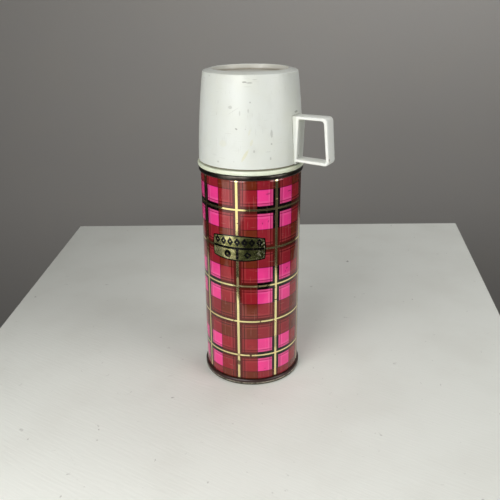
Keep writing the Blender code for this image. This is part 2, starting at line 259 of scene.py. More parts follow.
def thread(angle, z, bottom, start):
    """Share of its full depth, 0 to 1, that a thread ridge has at an angle and height."""
    turned = ((angle - start) % tau) / tau
    best = 0.0
    for along in (turned, turned + 1):
        if along > THREAD_TURNS:
            continue
        off = abs(z - bottom - THREAD_LEAD * along) / (THREAD_WIDTH / 2)
        fade = smooth(min(along, THREAD_TURNS - along) * THREAD_FADE)
        best = max(best, smooth((1 - off) * 1.7) * fade)
    return best


def threaded(*walls):
    """Shape for lathe, with a thread on each wall: the wall's radius, depth, level and start."""

    def shape(r, z, angle, index):
        for wall_r, depth, level, start in walls:
            if abs(r - wall_r) < 1e-3:
                return r + depth * thread(angle, z, level, start), z
        return r, z

    return shape


def dress(obj, body, slot, *nodes):
    """Make a finished piece stand for its CAD nodes and move with their body."""
    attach(obj, body)
    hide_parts(*nodes)


# ---- materials


def srgb(red, green, blue):
    """Linear colour of a screen colour given from 0 to 255."""

    def linear(c):
        return ((c / 255 + 0.055) / 1.055) ** 2.4 if c > 10 else c / 255 / 12.92

    return (linear(red), linear(green), linear(blue), 1)


class Surface:
    """A Principled material, with short calls for its nodes. Lengths in them are millimetres."""

    def __init__(self, name, color, roughness, **sockets):
        self.material = bpy.data.materials.new(name)
        self.material.use_nodes = True
        self.tree = self.material.node_tree
        self.shader = self.tree.nodes["Principled BSDF"]
        self.shader.inputs["Base Color"].default_value = color
        self.shader.inputs["Roughness"].default_value = roughness
        for socket, value in sockets.items():
            self.shader.inputs[socket.replace("_", " ")].default_value = value
        place = self.node("ShaderNodeTexCoord").outputs["Object"]
        scaled = self.node("ShaderNodeVectorMath", {0: place}, operation="SCALE")
        scaled.inputs["Scale"].default_value = 1 / MM
        self.place = scaled.outputs[0]
        split = self.node("ShaderNodeSeparateXYZ", {0: self.place})
        self.x, self.y, self.z = split.outputs

    def node(self, kind, inputs=None, **settings):
        made = self.tree.nodes.new(kind)
        for key, value in settings.items():
            setattr(made, key, value)
        for key, value in (inputs or {}).items():
            if isinstance(value, bpy.types.NodeSocket):
                self.tree.links.new(value, made.inputs[key])
            else:
                made.inputs[key].default_value = value
        return made

    def math(self, operation, *values):
        return self.node("ShaderNodeMath", dict(enumerate(values)), operation=operation).outputs[0]

    def plus(self, one, two):
        return self.math("ADD", one, two)

    def minus(self, one, two):
        return self.math("SUBTRACT", one, two)

    def over(self, one, two):
        return self.math("DIVIDE", one, two)

    def without(self, share):
        return self.minus(1.0, share)

    def times(self, first, *others):
        return self.math("MULTIPLY", first, self.times(*others)) if others else first

    def most(self, first, *others):
        return self.math("MAXIMUM", first, self.most(*others)) if others else first

    def length(self, one, two):
        return self.math("SQRT", self.plus(self.times(one, one), self.times(two, two)))

    def squared(self, value):
        return self.math("POWER", value, 2.0)

    def mix(self, share, low, high):
        """Colour or value between low and high."""
        node = self.node("ShaderNodeMix", {0: share, 6: low, 7: high}, data_type="RGBA")
        return node.outputs[2]

    def between(self, share, low, high):
        """Number between low and high."""
        return self.node("ShaderNodeMix", {0: share, 2: low, 3: high}, data_type="FLOAT").outputs[0]

    def rise(self, value, start, end):
        """0 before start, 1 after end and smooth between them. It falls if end is below start."""
        if end < start:
            return self.without(self.rise(value, end, start))
        inputs = {0: value, 1: start, 2: end}
        return self.node("ShaderNodeMapRange", inputs, interpolation_type="SMOOTHSTEP").outputs[0]

    def within(self, value, start, end, blur):
        """1 between start and end and 0 outside, with edges blurred by this much to either side."""
        after_start = self.rise(value, start - blur, start + blur)
        return self.times(after_start, self.rise(value, end + blur, end - blur))

    def noise(self, grain, detail=2.0, stretch=(1, 1, 1), shift=0.0, distortion=0.0):
        """Noise from 0 to 1. Its lumps are about grain across, times stretch along each axis."""
        density = tuple(1 / (grain * part) for part in stretch)
        inputs = {0: self.place, 1: density, 2: (shift, shift * 1.7, shift * 0.6)}
        where = self.node("ShaderNodeVectorMath", inputs, operation="MULTIPLY_ADD").outputs[0]
        inputs = {"Vector": where, "Scale": 1.0, "Detail": detail, "Distortion": distortion}
        return self.node("ShaderNodeTexNoise", inputs).outputs[0]

    def occlusion_shade(self, reach):
        """Painted shade from ambient occlusion: 1 deep in a corner, 0 in the open."""
        inputs = {"Distance": reach * MM}
        node = self.node("ShaderNodeAmbientOcclusion", inputs, samples=8, only_local=True)
        return self.rise(node.outputs["AO"], 0.85, 0.35)

    def bump(self, height, depth):
        """Add relief: height goes from 0 to 1, and depth is how deep that is."""
        normal = self.shader.inputs["Normal"]
        inputs = {"Strength": 1.0, "Distance": depth * MM, "Height": height}
        if normal.is_linked:
            inputs["Normal"] = normal.links[0].from_socket
        self.tree.links.new(self.node("ShaderNodeBump", inputs).outputs[0], normal)

    def set(self, **sockets):
        for socket, value in sockets.items():
            self.tree.links.new(value, self.shader.inputs[socket.replace("_", " ")])


def azimuth(s):
    """Angle round Z in degrees."""
    return s.times(s.math("ARCTAN2", s.y, s.x), 360 / tau)


def arc_from(s, degrees, radius):
    """Distance in millimetres round a cylinder from an azimuth, negative before it."""
    turns = s.over(s.minus(azimuth(s), degrees), 360.0)
    wrapped = s.minus(s.math("FRACT", s.plus(turns, 0.5)), 0.5)
    return s.times(wrapped, tau * radius)


def spots(s, marks, radius):
    """Mask of listed marks: azimuth, height, half width, half height, strength, any lean."""
    ragged = s.times(s.minus(s.noise(0.9, 3.0), 0.5), 1.4)
    masks = []
    for degrees, level, wide, high, strength, *lean in marks:
        along = arc_from(s, degrees, radius)
        up = s.minus(s.z, level)
        if lean:
            along = s.math("MULTIPLY_ADD", up, -lean[0], along)
        far = s.plus(s.squared(s.over(along, wide)), s.squared(s.over(up, high)))
        masks.append(s.times(s.rise(s.plus(far, ragged), 1.3, 0.5), strength))
    return s.most(*masks)


# Ink stripes beside each gold line, in millimetres from its middle
STRIPE_BLUR = 0.07
INK_STRIPES = {"light": (2.75, 3.5), "pin": (3.75, 4.2), "glow": (4.4, 5.5)}


class Stripes:
    """Masks for the stripes of one direction of the sett.

    turns counts repeats and is whole at the bordered gold lines. line is a gold line's half width.
    """

    def __init__(self, s, turns, period, line):
        quarter = period / 4
        part = s.math("FRACT", s.plus(turns, 0.5))
        from_bordered = s.times(s.math("ABSOLUTE", s.minus(part, 0.5)), period)
        from_plain = s.minus(period / 2, from_bordered)
        away = s.math("MINIMUM", from_bordered, from_plain)
        self.bordered = s.rise(from_bordered, quarter + 0.05, quarter - 0.05)
        self.gold = s.rise(away, line + 0.06, line - 0.06)
        self.inks = {
            "edge": s.rise(away, 1.7, 0.8),
            "band": s.rise(away, 2.6, 2.46),
            "seam": s.rise(away, quarter - 0.35, quarter - 0.15),
        }
        for name, (start, end) in INK_STRIPES.items():
            self.inks[name] = s.within(away, start, end, STRIPE_BLUR)


# Nicks in the gold and specks in the ink, as spots takes them
GOLD_NICKS = [
    (-30.6, 62.6, 1.2, 0.35, 1.0),
    (-49.8, 48.4, 0.35, 1.0, 0.9, 0.3),
    (-33.9, 48.6, 0.35, 1.0, 0.8),
    (-81.2, 48.6, 0.4, 0.9, 0.7, 0.4),
    (-75.8, 16.8, 1.2, 2.0, 0.85),
    (-75.8, 22.6, 1.1, 1.2, 0.5),
    (-30.8, 31.0, 1.2, 5.0, 0.45),
    (-61.6, 23.0, 0.9, 1.1, 0.9),
    (-63.4, 74.0, 5.4, 1.2, 0.8),
    (-47.0, 74.0, 2.6, 1.1, 0.7),
    (-75.8, 76.5, 1.2, 3.6, 0.5),
    (-30.4, 131.0, 0.6, 0.6, 0.5),
    (-74.6, 116.3, 0.7, 0.35, 0.8, 0.4),
    (96.0, 74.2, 1.4, 0.9, 0.9),
    (150.0, 23.0, 1.0, 0.8, 0.9, 0.2),
]
INK_SPECKS = [
    (-14.6, 82.8, 0.7, 0.6, 0.6, 0.4),
    (-17.2, 80.9, 0.5, 0.4, 0.6),
    (-47.3, 116.2, 0.3, 0.6, 0.6),
    (-40.6, 117.3, 0.3, 0.7, 0.5, 0.3),
    (-41.0, 134.8, 1.4, 0.7, 0.35, 0.6),
    (-12.6, 134.2, 1.7, 0.3, 0.6),
    (-44.2, 12.0, 0.5, 0.3, 0.5),
    (-81.4, 118.2, 0.4, 0.8, 0.5, 0.3),
    (-62.4, 30.0, 1.3, 1.3, 0.15),
    (20.0, 60.0, 0.6, 0.5, 0.6, 0.2),
    (60.0, 97.0, 0.5, 0.9, 0.6),
    (122.0, 34.0, 0.8, 0.4, 0.6),
    (-150.0, 110.0, 0.5, 0.8, 0.6),
]


def sett_ink(s, across, up):
    """Colour of the inks, where the stripes of both directions are printed over each other."""
    pink = s.times(across.bordered, up.bordered)
    plain_rows = s.mix(across.bordered, srgb(112, 42, 22), srgb(146, 34, 46))
    bordered_rows = s.mix(across.bordered, srgb(152, 32, 42), srgb(247, 66, 148))
    ink = s.mix(up.bordered, plain_rows, bordered_rows)
    layers = [  # stripe, how strong it is, its colour on red and on pink
        ("glow", 0.22, srgb(176, 76, 72), srgb(255, 140, 196)),
        ("light", 0.75, srgb(134, 50, 48), srgb(212, 92, 140)),
        ("pin", 0.85, srgb(52, 10, 12), srgb(140, 14, 66)),
        ("seam", 0.75, srgb(66, 10, 16), srgb(66, 10, 16)),
        ("band", 1.0, srgb(88, 24, 18), srgb(3, 1, 2)),
        ("edge", 0.8, srgb(66, 24, 12), srgb(3, 2, 2)),
    ]
    for name, strength, on_red, on_pink in layers:
        share = s.times(s.most(across.inks[name], up.inks[name]), strength)
        ink = s.mix(share, ink, s.mix(pink, on_red, on_pink))

    faded = s.rise(s.noise(14.0, 3.0), 0.35, 0.75)
    ink = s.mix(s.times(faded, 0.14), ink, srgb(60, 12, 20))
    dots = s.rise(s.noise(1.1, 1.0, shift=4.0), 0.77, 0.82)
    specks = s.most(spots(s, INK_SPECKS, CASE_R), s.times(dots, 0.5))
    return s.mix(specks, ink, srgb(70, 10, 34))


def lozenge(s, along, up, wide, high):
    """Distance from the middle of a lozenge, 1 on its outline."""
    return s.plus(s.over(s.math("ABSOLUTE", along), wide), s.over(s.math("ABSOLUTE", up), high))


def badge_marks(s, u, v, depth):
    """Mask of the badge's black: border, bar, post, a row of lozenges, a ring and a diamond.

    u and v are millimetres right and up from its middle, and depth is how far inside its edge.
    """
    side_u = s.math("ABSOLUTE", u)
    side_v = s.math("ABSOLUTE", v)
    border = s.rise(depth, 0.92, 0.8)
    inner_line = s.times(s.within(depth, 1.125, 1.425, 0.075), 0.55)
    bar = s.times(s.rise(side_v, 0.88, 0.76), s.rise(side_u, 17.3, 17.1))
    post = s.times(s.rise(side_u, 1.0, 0.88), s.rise(v, 0.1, 0.0), s.rise(v, -7.7, -7.5))

    pitch = 4.7
    row_level, low_level = 4.1, 4.2  # above and below the bar
    aside = 6.6
    part = s.math("FRACT", s.plus(s.over(u, pitch), 0.5))
    in_row = lozenge(s, s.times(s.minus(part, 0.5), pitch), s.minus(v, row_level), 2.2, 3.05)
    row = s.times(s.within(in_row, 0.2, 1.0, 0.04), s.rise(side_u, 16.4, 16.3))
    low = s.plus(v, low_level)
    ring = s.within(s.length(s.plus(u, aside), low), 0.46, 2.44, 0.06)
    diamond = s.within(lozenge(s, s.minus(u, aside), low, 2.6, 2.6), 0.3, 1.0, 0.04)

    black = s.most(border, inner_line, bar, post, row, ring, diamond)
    flaked = s.rise(s.noise(0.8, 2.0, shift=2.0), 0.7, 0.78)
    return s.times(black, s.without(s.times(flaked, 0.4)))


def badge(s):
    """A barrel-shaped plate printed over the sett: its mask, the mask of its black, its colour."""
    u = arc_from(s, PLAIN_AZIMUTH, CASE_R)
    v = s.minus(s.z, BADGE_LEVEL)
    half_high = s.math("MULTIPLY_ADD", s.squared(s.over(u, 18.0)), -1.75, 8.65)
    half_wide = s.math("MULTIPLY_ADD", s.squared(s.over(v, 8.6)), -0.9, 18.3)
    to_top = s.minus(half_high, s.math("ABSOLUTE", v))
    depth = s.math("MINIMUM", to_top, s.minus(half_wide, s.math("ABSOLUTE", u)))
    black = badge_marks(s, u, v, depth)

    # Painted light and shade: the badge is lighter on its left and darker on its right.
    lit_left = s.rise(u, 3.0, -5.0)
    tone = s.mix(
        s.rise(s.noise(4.5, 4.0), 0.32, 0.68),
        s.mix(lit_left, srgb(62, 66, 34), srgb(148, 150, 88)),
        s.mix(lit_left, srgb(136, 140, 88), srgb(252, 246, 182)),
    )
    rubbed = s.times(s.rise(u, 11.0, 14.0), s.rise(s.noise(1.6, 3.0, shift=5.0), 0.5, 0.62))
    tone = s.mix(rubbed, tone, srgb(246, 242, 200))
    return s.rise(depth, -0.06, 0.06), black, s.mix(black, tone, srgb(3, 3, 2))


def gold_color(s):
    """Varnished gold, painted darker on the plain line above the badge as painted shade in its
    reflection.
    """
    aside = s.math("ABSOLUTE", arc_from(s, PLAIN_AZIMUTH, CASE_R))
    # Painted shade: the gold is darkened in this patch.
    darkening = s.times(s.rise(s.z, 103.0, 110.0), s.rise(aside, 11.0, 8.5))
    return s.mix(darkening, srgb(255, 240, 176), srgb(218, 204, 142))


def printed_tin():
    """Tartan ink and gold under varnish on bright tinplate, with a badge on a plain gold line."""
    s = Surface("printed_tin", srgb(150, 38, 45), 0.14, IOR=1.56)
    to_column = -PLAIN_AZIMUTH * SETT_REPEATS / 360 - 0.5
    columns = s.math("MULTIPLY_ADD", azimuth(s), SETT_REPEATS / 360, to_column)
    rows = s.over(s.minus(s.z, BORDERED_LEVEL), SETT_HEIGHT)
    across = Stripes(s, columns, tau * CASE_R / SETT_REPEATS, GOLD_HALF_UPRIGHT)
    up = Stripes(s, rows, SETT_HEIGHT, GOLD_HALF_LEVEL)

    nicks = s.times(s.rise(s.noise(2.2, 2.0, shift=9.0), 0.7, 0.76), 0.8)
    worn = s.most(spots(s, GOLD_NICKS, CASE_R), nicks)
    gold = s.times(s.most(across.gold, up.gold), s.without(worn))
    plate_mask, black, plate_color = badge(s)
    color = s.mix(gold, sett_ink(s, across, up), gold_color(s))
    color = s.mix(plate_mask, color, plate_color)
    bare = s.times(plate_mask, s.without(black))
    metal = s.between(plate_mask, s.between(gold, 0.16, 1.0), s.times(bare, 0.9))

    # Hairline scratches, mostly round and up the tin
    scratches = s.most(
        s.rise(s.noise(0.5, 0.0, stretch=(1, 1, 26), shift=1.0), 0.74, 0.8),
        s.rise(s.noise(0.5, 0.0, stretch=(14, 14, 1), shift=6.0), 0.76, 0.82),
    )
    color = s.mix(s.times(scratches, 0.12), color, srgb(214, 176, 160))
    smear = s.noise(9.0, 4.0, stretch=(1, 1, 2), shift=3.0)
    rough = s.plus(s.between(s.rise(smear, 0.35, 0.8), 0.08, 0.2), s.times(bare, 0.08))
    s.set(Base_Color=color, Metallic=metal, Roughness=rough)
    s.bump(s.noise(5.0, 3.0, shift=8.0), 0.03)
    s.bump(s.without(s.times(scratches, 0.6)), 0.01)
    return s.material


def bare_metal(name, color, dark, roughness, rust=0.0, painted_above=None):
    """Plain or blackened steel with tarnish, painted shade in its corners and a fine drawn grain.

    Above a level it may keep its dark maroon paint, rubbed through to bright metal just below, and
    that bright line is also a painted highlight.
    """
    s = Surface(name, color, roughness, Metallic=1.0)
    darkening = s.rise(s.noise(3.5, 5.0, shift=5.0), 0.38, 0.66)
    # Painted shade: darker where ambient occlusion finds a corner.
    corner_shade = s.occlusion_shade(1.2)
    tone = s.mix(s.times(darkening, 0.6), color, dark)
    tone = s.mix(s.times(corner_shade, 0.8), tone, srgb(22, 18, 14))
    if rust:
        spots_of_rust = s.rise(s.noise(1.3, 4.0, shift=11.0), 0.66, 0.74)
        tone = s.mix(s.times(spots_of_rust, rust), tone, srgb(84, 48, 26))
    if painted_above is not None:
        edge = s.math("MULTIPLY_ADD", s.noise(2.0, 3.0, shift=6.0), 0.8, painted_above - 0.4)
        outside = s.rise(s.length(s.x, s.y), 32.0, 32.4)
        height = s.minus(s.z, edge)
        patchy = s.rise(s.noise(3.0, 2.0), 0.3, 0.6)
        # The rubbed line is bright metal and also a painted highlight along the rim.
        rubbed = s.times(s.rise(height, -0.75, -0.5), outside, patchy)
        tone = s.mix(rubbed, tone, srgb(196, 188, 172))
        paint = s.times(s.rise(height, -0.1, 0.15), outside)
        tone = s.mix(paint, tone, srgb(46, 20, 16))
        s.set(Metallic=s.without(paint))
    drawn = s.noise(1.5, 4.0, stretch=(4, 4, 1))
    s.set(Base_Color=tone, Roughness=s.between(drawn, roughness - 0.1, roughness + 0.15))
    s.bump(s.noise(0.4, 3.0, stretch=(5, 5, 1)), 0.01)
    s.bump(s.noise(3.0, 2.0), 0.03)
    return s.material


def moulded_plastic(name, color, yellowed, roughness, is_cup=False):
    """Old moulded plastic: uneven yellowing, painted shade in the corners, scuffs and faint
    scratches.

    The cup also has its own marks, a sunk top painted darker as painted shade and a handle painted
    paler as painted light.
    """
    s = Surface(name, color, roughness, IOR=1.5, Subsurface_Weight=0.06, Subsurface_Scale=0.002)
    s.shader.inputs["Subsurface Radius"].default_value = (1.0, 0.9, 0.7)
    age = s.rise(s.noise(26.0, 3.0, shift=2.0), 0.36, 0.7)
    tone = s.mix(s.times(age, 0.45), color, yellowed)
    haze = s.rise(s.noise(7.0, 5.0, stretch=(1, 1, 1.6), shift=7.0), 0.5, 0.78)
    tone = s.mix(s.times(haze, 0.1), tone, srgb(150, 150, 138))
    specks = s.rise(s.noise(1.5, 1.0, shift=14.0), 0.79, 0.84)
    hair = s.rise(s.noise(0.45, 0.0, stretch=(20, 20, 1), shift=3.0), 0.78, 0.84)
    hair_up = s.rise(s.noise(0.45, 0.0, stretch=(1, 1, 30), shift=12.0), 0.78, 0.84)
    scratches = s.most(hair, hair_up)
    tone = s.mix(s.times(scratches, 0.18), tone, srgb(140, 136, 124))
    tone = s.mix(s.times(specks, 0.45), tone, srgb(112, 108, 96))
    if is_cup:
        # Painted light: the handle is tinted paler than the rest of the cup.
        handle = s.rise(s.x, HANDLE_X, HANDLE_X + 1.0)
        tone = s.mix(s.times(handle, 0.8), tone, srgb(238, 240, 234))
        tone = s.mix(spots(s, CUP_MARKS, CUP_R), tone, srgb(92, 90, 80))
        tone = s.mix(spots(s, CUP_STREAKS, CUP_R), tone, srgb(206, 200, 140))
        # Painted shade: the sunk top's floor is tinted darker, and darker still in its corner by the
        # wall.
        out = s.length(s.x, s.y)
        on_floor = s.rise(s.z, RECESS_Z - 0.2, RECESS_Z)
        inside = s.times(s.rise(out, RECESS_R + 0.5, RECESS_R + 0.2), on_floor)
        by_wall = s.rise(out, RECESS_R - 1.6, RECESS_R - 0.3)
        corner = s.times(by_wall, s.rise(s.z, RECESS_Z + 1.6, RECESS_Z + 0.4))
        recess_shade = s.between(s.noise(5.0, 4.0, shift=1.0), 0.6, 0.95)
        tone = s.mix(s.times(inside, recess_shade), tone, srgb(196, 193, 182))
        tone = s.mix(s.times(inside, corner, 0.6), tone, srgb(124, 112, 92))
    # Painted shade: darker where ambient occlusion finds a corner.
    tone = s.mix(s.times(s.occlusion_shade(1.6), 0.7), tone, srgb(92, 86, 68))
    handled = s.rise(s.noise(4.0, 4.0), 0.3, 0.75)
    s.set(Base_Color=tone, Roughness=s.between(handled, roughness - 0.07, roughness + 0.12))
    s.bump(s.noise(0.6, 3.0), 0.012)
    s.bump(s.noise(11.0, 2.0, shift=5.0), 0.06)
    s.bump(s.without(scratches), 0.012)
    return s.material


def soft_material(name, color, dark, roughness, grain, relief):
    """Matt stuff with a fine grain: rubber, felt, card, foam or mineral board."""
    s = Surface(name, color, roughness)
    tone = s.mix(s.noise(grain * 4, 4.0), dark, color)
    s.set(Base_Color=tone, Roughness=s.between(s.noise(grain, 3.0), roughness - 0.1, 1.0))
    s.bump(s.noise(grain, 5.0), relief)
    return s.material


def silvered_glass():
    """Mirror silver behind glass, with faint cloudy streaks."""
    s = Surface("silvered_glass", srgb(226, 226, 230), 0.06, Metallic=1.0)
    s.shader.inputs["Coat Weight"].default_value = 1.0
    s.shader.inputs["Coat Roughness"].default_value = 0.02
    cloud = s.rise(s.noise(8.0, 4.0, stretch=(1, 1, 3)), 0.45, 0.75)
    tone = s.mix(cloud, srgb(228, 228, 232), srgb(176, 172, 164))
    s.set(Base_Color=tone, Roughness=s.between(cloud, 0.04, 0.16))
    s.bump(s.noise(6.0, 2.0), 0.02)
    return s.material


# Marks on the cup, as spots takes them
CUP_MARKS = [
    (-66.2, 199.9, 1.5, 0.4, 0.6),
    (-60.6, 199.5, 2.2, 0.4, 0.38),
    (-55.0, 201.2, 1.7, 0.3, 0.22),
    (-60.0, 188.9, 0.5, 0.5, 0.4),
    (-81.7, 185.9, 1.3, 1.0, 0.25),
    (-78.2, 183.9, 0.3, 2.2, 0.2, 1.6),
    (-71.2, 182.7, 0.5, 1.4, 0.2),
    (-62.0, 184.2, 0.5, 1.2, 0.22),
    (-74.8, 173.9, 0.7, 0.6, 0.5, -0.6),
    (-37.4, 170.7, 0.8, 2.4, 0.3),
    (-37.6, 164.9, 0.55, 0.55, 0.38),
    (-38.8, 156.4, 0.5, 1.0, 0.3),
    (-56.2, 161.1, 0.5, 0.9, 0.32),
    (-96.0, 153.9, 0.7, 0.6, 0.3),
    (-41.5, 160.5, 1.8, 0.25, 0.16, 0.4),
    (-114.1, 202.4, 0.4, 0.4, 0.4),
    (0.5, 181.2, 2.2, 0.7, 0.5),
    (-3.6, 155.2, 0.45, 0.9, 0.55),
    (118.0, 176.0, 0.5, 3.0, 0.3, 0.5),
    (150.0, 160.0, 1.1, 0.6, 0.35),
    (75.0, 190.0, 0.8, 0.4, 0.35),
]
CUP_STREAKS = [
    (-65.6, 158.6, 1.0, 3.6, 0.34, 0.55),
    (-58.8, 166.2, 0.9, 1.9, 0.2, 0.3),
    (-61.0, 172.0, 0.6, 2.0, 0.16, 0.3),
    (-90.0, 165.0, 2.5, 2.0, 0.12),
    (130.0, 185.0, 1.0, 3.0, 0.3, 0.4),
]

TIN = printed_tin()
INSIDE_TIN = bare_metal("inside_tin", srgb(170, 168, 160), srgb(112, 108, 98), 0.38)
BASE_STEEL = bare_metal(
    "base_steel", srgb(112, 110, 98), srgb(60, 58, 48), 0.34, rust=0.6, painted_above=2.1
)
GUNMETAL = bare_metal("dark_metal", srgb(84, 80, 74), srgb(44, 36, 30), 0.3, rust=0.2)
IVORY = moulded_plastic("ivory_plastic", srgb(224, 231, 211), srgb(212, 216, 180), 0.34)
WHITE = moulded_plastic(
    "white_plastic", srgb(215, 219, 213), srgb(211, 213, 199), 0.36, is_cup=True
)
STOPPER_RED = moulded_plastic("stopper_plastic", srgb(150, 28, 26), srgb(132, 30, 24), 0.36)
RUBBER = soft_material("rubber", srgb(104, 78, 58), srgb(66, 48, 36), 0.7, 0.5, 0.03)
CUP_RUBBER = soft_material("cup_rubber", srgb(150, 146, 124), srgb(118, 112, 92), 0.7, 0.5, 0.03)
GLASS = silvered_glass()
MINERAL = soft_material("mineral_pad", srgb(186, 178, 164), srgb(150, 142, 128), 0.9, 0.4, 0.08)
FELT = soft_material("felt", srgb(120, 112, 104), srgb(80, 74, 68), 0.95, 0.35, 0.15)
CARD = soft_material("card", srgb(176, 148, 108), srgb(146, 118, 82), 0.9, 0.6, 0.04)
FOAM = soft_material("foam", srgb(226, 214, 178), srgb(196, 180, 140), 0.9, 0.8, 0.2)


# ---- tin body


TIN_WALL = 0.5
TIN_ROWS = 96
SEAM_AZIMUTH = radians(104)
SEAM_HALF = 2.3
SEAM_PROUD = 0.42


def case_angles():
    """Even steps round the tin, with extra ones over the folds of the lock seam."""
    even = [i * tau / ROUND for i in range(ROUND)]
    across = (-0.7, -0.35, -0.1, 0.15, 0.3)
    folds = [side * (SEAM_HALF + off) / CASE_R for side in (-1, 1) for off in across]

    def clear_of_folds(angle):
        off_seam = abs(angle - SEAM_AZIMUTH) * CASE_R
        return off_seam > SEAM_HALF + 1.0 or off_seam < SEAM_HALF - 1.0

    kept = [angle for angle in even if clear_of_folds(angle)]
    return sorted(kept + [SEAM_AZIMUTH + fold for fold in folds])


def case_tube():
    """The wrapped tin, a little uneven from years of use, with its lock seam at the back."""
    inner_r = CASE_R - TIN_WALL
    edge_r = CASE_R - 0.15
    low, high = CASE_BOTTOM + 0.2, CASE_TOP - 0.2
    outside = [(edge_r, CASE_BOTTOM)]
    outside += [(CASE_R, low + (high - low) * i / TIN_ROWS) for i in range(TIN_ROWS + 1)]
    outside += [(edge_r, CASE_TOP)]
    inside = [(inner_r, CASE_TOP), (inner_r, (CASE_TOP + CASE_BOTTOM) / 2), (inner_r, CASE_BOTTOM)]

    def shape(r, z, angle, index):
        if index >= len(outside):
            return r, z
        at = Vector((CASE_R * cos(angle), CASE_R * sin(angle), z))
        broad = noise.noise(at / 24)
        fine = noise.noise((at + Vector((0, 0, 300))) / 9)
        ends = smooth((z - CASE_BOTTOM) / 8) * smooth((CASE_TOP - z) / 8)
        off_seam = abs((angle - SEAM_AZIMUTH + pi) % tau - pi) * CASE_R
        fold = SEAM_PROUD * smooth((SEAM_HALF + 0.3 - off_seam) / 0.6)
        return r + fold - 0.05 * ends * max(0.0, broad + 0.5 * fine + 0.4), z

    def pick(index):
        return int(index >= len(outside) - 1)

    parts = outside + inside, [TIN, INSIDE_TIN]
    return lathe("tin_case", *parts, angles=case_angles(), shape=shape, pick=pick)


dress(case_tube(), "case", "printed_tin", "case_tube")


def base_cap():
    """Seamed-on steel base: a rolled rim round a panel with two stamped rings."""
    foot = RIM_R - 2.0
    panel = 3.0  # underside of the panel
    panel_r = RIM_R - 5.2
    tin_r = RIM_R - 0.4
    side_r = RIM_R - 0.02
    outline = rounded(
        [
            (0, panel + 0.8, 0),
            (panel_r, panel + 0.8, 0.5),
            (RIM_R - 3.8, RIM_TOP, 0.6),
            (tin_r, RIM_TOP, 0),
            (tin_r, RIM_TOP - 0.15, 0.1),
            (side_r, RIM_TOP - 0.6, 0.4),
            (side_r, 0.75, 0.5),
            (RIM_R - 0.6, 0, 0.55),
            (foot, 0, 0.4),
            (foot - 0.7, 0.8, 0.5),
            (panel_r, panel, 0.8),
            (22, panel, 0.6),
            (21.2, panel + 0.45, 0.6),
            (19.2, panel + 0.45, 0.6),
            (18.4, panel, 0.6),
            (9, panel, 0.6),
            (8.4, panel + 0.35, 0.6),
            (7.4, panel + 0.35, 0.6),
            (6.8, panel, 0.6),
            (0, panel, 0),
        ],
        closed=False,
        steps=COARSE_ARC,
    )
    return lathe("steel_base", outline, [BASE_STEEL], closed=False)


dress(base_cap(), "case", "tinplate", "base_cap")


def top_ring():
    """Blackened bead that closes the top of the tin, with its flange under the collar."""
    foot = CASE_R - 0.4
    flange_r = 28.0
    middle = (BEAD_BOTTOM + BEAD_TOP) / 2
    outline = rounded(
        [
            (foot, BEAD_TOP, 0.2),
            (BEAD_R - 0.15, BEAD_TOP, 1.0),
            (BEAD_R, middle, 2.4),
            (BEAD_R - 0.15, BEAD_BOTTOM, 1.0),
            (flange_r, BEAD_BOTTOM, 0.2),
            (flange_r, BEAD_BOTTOM + 0.8, 0.2),
            (foot, BEAD_BOTTOM + 0.8, 0.3),
        ]
    )
    return lathe("top_bead", outline, [GUNMETAL])


dress(top_ring(), "case", "dark_metal", "top_ring")


# ---- collar


def neck_collar():
    """Band, threaded neck for the cup, dished top, pouring lip and threaded bore."""
    band_bottom = BEAD_TOP + GAP
    band_top = WASHER_BOTTOM - GAP
    skirt_r = CASE_R - 0.8
    neck_r = 29.3
    neck_top = 156.0
    inside_r = neck_r - 1.7
    bore_r = 16.3
    bore_bottom = 146.0
    tube_r = bore_r + 1.8
    outline = rounded(
        [
            (bore_r + 0.3, LIP_TOP, 0.5),
            (tube_r + 0.5, LIP_TOP, 0.5),
            (tube_r + 1.1, LIP_TOP - 1.2, 0.8),
            (tube_r + 1.2, neck_top + 1.4, 0.9),
            (neck_r - 2.6, neck_top + 1.4, 1.2),
            (neck_r - 0.8, neck_top + 0.95, 0.8),
            (neck_r, neck_top, 0.8),
            (neck_r, band_top, 0.4),
            (BAND_R - 0.35, band_top, 0.45),
            (BAND_R - 0.02, band_top - 0.9, 0.8),
            (BAND_R - 0.12, band_bottom + 0.5, 0.5),
            (BAND_R - 0.6, band_bottom, 0.3),
            (skirt_r, band_bottom, 0.2),
            (skirt_r, SKIRT_BOTTOM, 0.2),
            (inside_r, SKIRT_BOTTOM, 0.2),
            (inside_r, neck_top - 0.8, 0.8),
            (tube_r, neck_top - 0.8, 0.6),
            (tube_r, bore_bottom, 0.2),
            (bore_r, bore_bottom, 0.3),
            (bore_r, LIP_TOP - 0.6, 0.6),
        ]
    )
    outline = densified(outline, bore_bottom + 0.2, neck_top)

    threads = threaded(
        (neck_r, COLLAR_RIDGE, COLLAR_THREAD_Z, 0),
        (bore_r, -STOPPER_RIDGE, BORE_THREAD_Z, BORE_THREAD_START),
    )
    return lathe("neck_collar_moulding", outline, [IVORY], shape=threads)


dress(neck_collar(), "case", "ivory_plastic", "neck_collar")


def seal(name, inner, node, soft, finish):
    """Flat ring as big as its CAD node, with soft edges."""
    outer, bottom, top = size(node)
    corners = [(outer, top), (outer, bottom), (inner, bottom), (inner, top)]
    outline = rounded([(r, z, soft) for r, z in corners], steps=COARSE_ARC)
    return lathe(name, outline, [finish])


cup_ring = seal("cup_seal_ring", 30.7, "cup_washer", 0.18, CUP_RUBBER)
dress(cup_ring, "cup_seal", "rubber", "cup_washer")


# ---- cup


CUP_WALL = 2.0
CURVE_TOP = 198  # where the wall's curve meets the rounded shoulder


def cup_radius(z):
    """Outer radius of the cup's wall, which tapers faster towards its top."""
    t = (z - CUP_BOTTOM) / (CUP_SHOULDER - CUP_BOTTOM)
    return CUP_R - 1.4 * t - 2.5 * t * t


